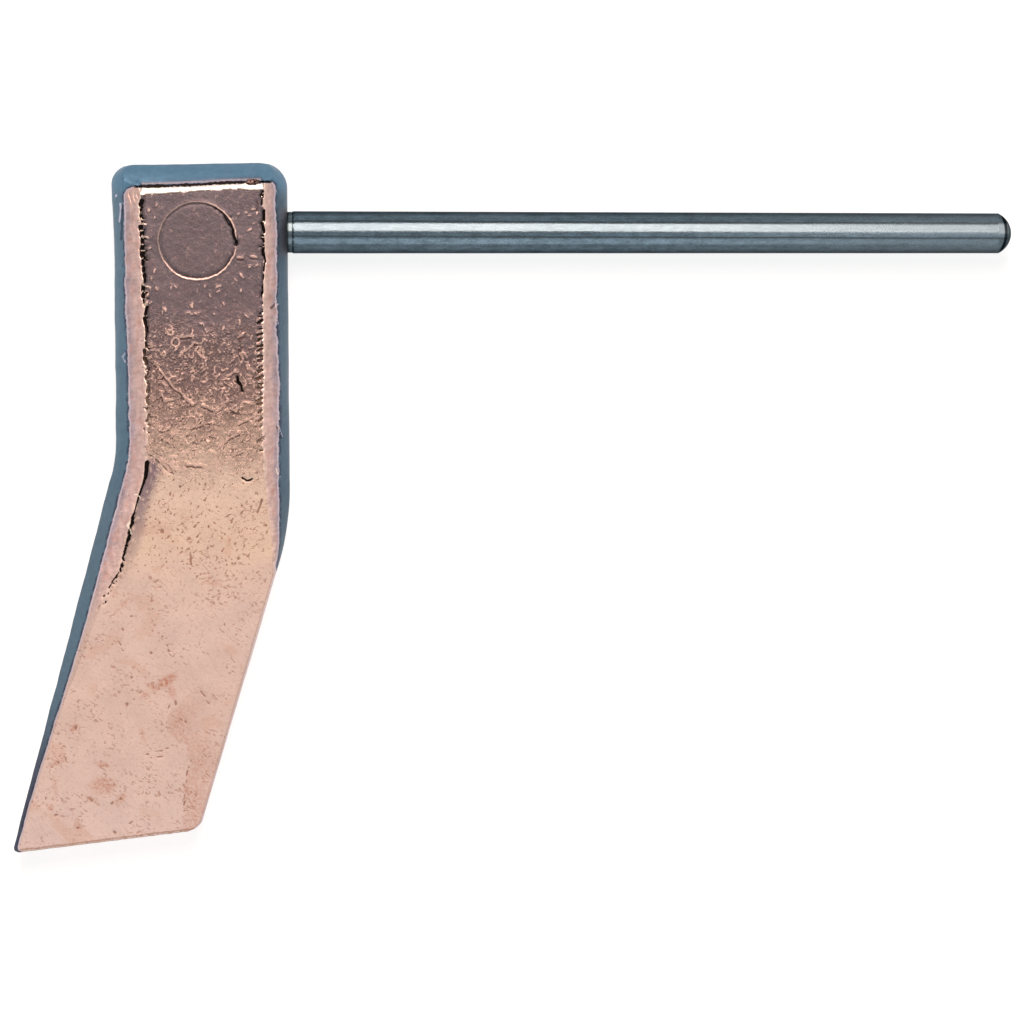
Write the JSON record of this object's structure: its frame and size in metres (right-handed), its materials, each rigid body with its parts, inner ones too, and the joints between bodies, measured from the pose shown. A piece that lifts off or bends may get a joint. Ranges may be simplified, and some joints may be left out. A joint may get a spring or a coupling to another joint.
{
  "type": "soldering copper",
  "caption": "Hatchet-shaped soldering copper: a solid copper bit with a slanted, tapered blade, screwed square onto a round drawn-steel stem.",
  "frame": {"origin": "on the stem's axis, where the stem leaves the copper head", "axes": "+X along the stem to its free end, +Y from the stem's axis to the top of the head, away from the blade, +Z out of the flat face that carries the struck ring; the part rests on the opposite face"},
  "size_m": [0.1882, 0.1299, 0.018],
  "materials": {
    "copper": "bare forged copper, brown at the stem's end and pinkish beige on the blade",
    "steel": "bright drawn steel with a fine grain along the rod"
  },
  "bodies": {
    "root": {"copper_head": "copper", "stem": "steel"}
  },
  "joints": []
}
